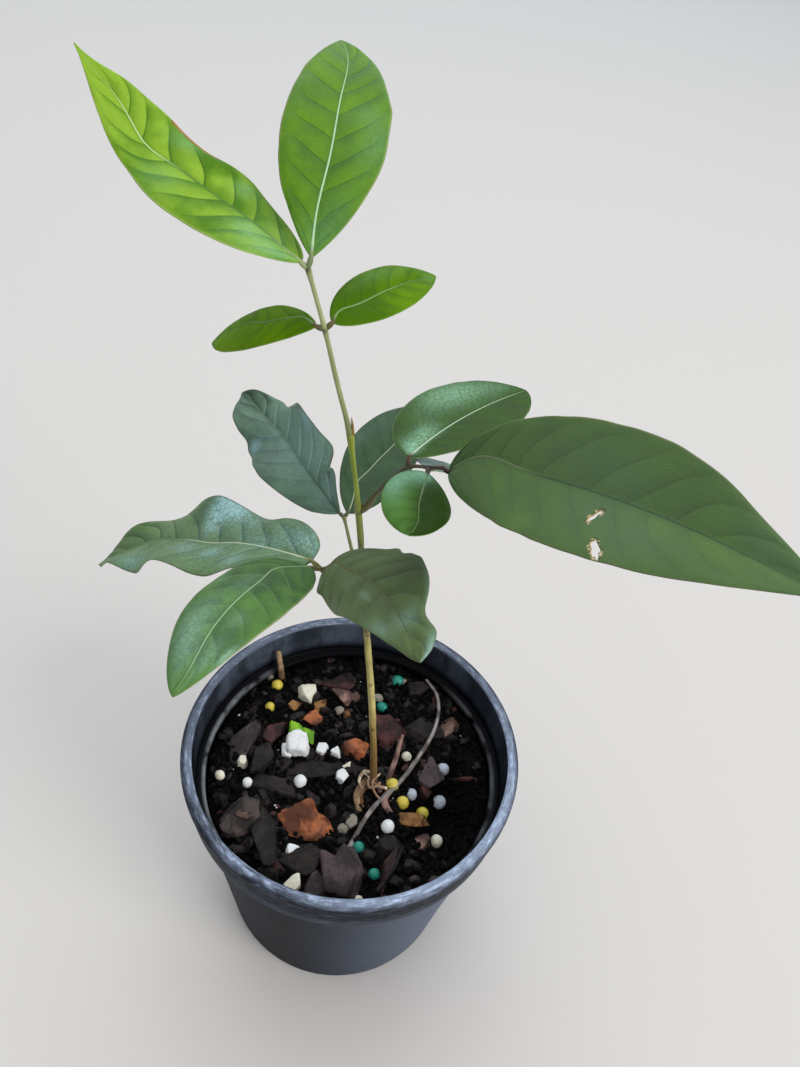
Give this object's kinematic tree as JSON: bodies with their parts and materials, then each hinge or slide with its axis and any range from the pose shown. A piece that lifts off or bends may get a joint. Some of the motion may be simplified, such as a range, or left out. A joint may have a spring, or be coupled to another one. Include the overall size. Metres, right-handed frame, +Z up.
{
  "type": "potted longan tree",
  "caption": "Young longan plant with a thin leaning stem and compound leaves of glossy pointed leaflets, growing in a round black nursery pot of bark mix.",
  "frame": {"origin": "centre of the pot's flat underside", "axes": "+Z up, -Y towards the side the plant is looked at from, +X to the right of that view"},
  "size_m": [0.1384, 0.1431, 0.2906],
  "materials": {
    "pot_plastic": "black nursery plastic, satin, scuffed lip",
    "potting_mix": "dark moist bark and peat mix",
    "stem_bark": "brown at the foot, olive green above",
    "green_stalk": "smooth light green",
    "red_stalk": "reddish brown",
    "young_leaf": "bright yellow-green, satin",
    "dark_leaf": "dark green, leathery gloss",
    "perlite": "matt white",
    "bark": "red-brown bark chips",
    "dry_wood": "dry, matt"
  },
  "bodies": {
    "root": {"pot": "pot_plastic", "potting_soil": "potting_mix", "stem": "stem_bark", "stem_bud": "red_stalk", "stalk_top": "green_stalk", "stalk_right": "red_stalk", "stalk_back": "green_stalk", "stalk_front": "red_stalk", "leaf_top_left": "young_leaf", "leaf_top_right": "young_leaf", "leaf_upper_left": "young_leaf", "leaf_upper_right": "young_leaf", "leaf_right_upper": "dark_leaf", "leaf_right_under": "dark_leaf", "leaf_right_small": "dark_leaf", "leaf_right_large": "dark_leaf", "leaf_back_left": "dark_leaf", "leaf_back_right": "dark_leaf", "leaf_front_wavy": "dark_leaf", "leaf_front_left": "dark_leaf", "leaf_front_right": "dark_leaf", "perlite_1": "perlite", "perlite_2": "perlite", "perlite_3": "perlite", "perlite_4": "perlite", "perlite_5": "perlite", "perlite_6": "perlite", "bark_chip_1": "bark", "bark_chip_2": "bark", "bark_chip_3": "bark", "bark_chip_4": "bark", "bark_chip_5": "bark", "bark_chip_6": "bark", "bark_chip_7": "bark", "dry_twig": "dry_wood", "leaning_stick": "dry_wood", "dry_needle": "dry_wood"}
  },
  "joints": []
}
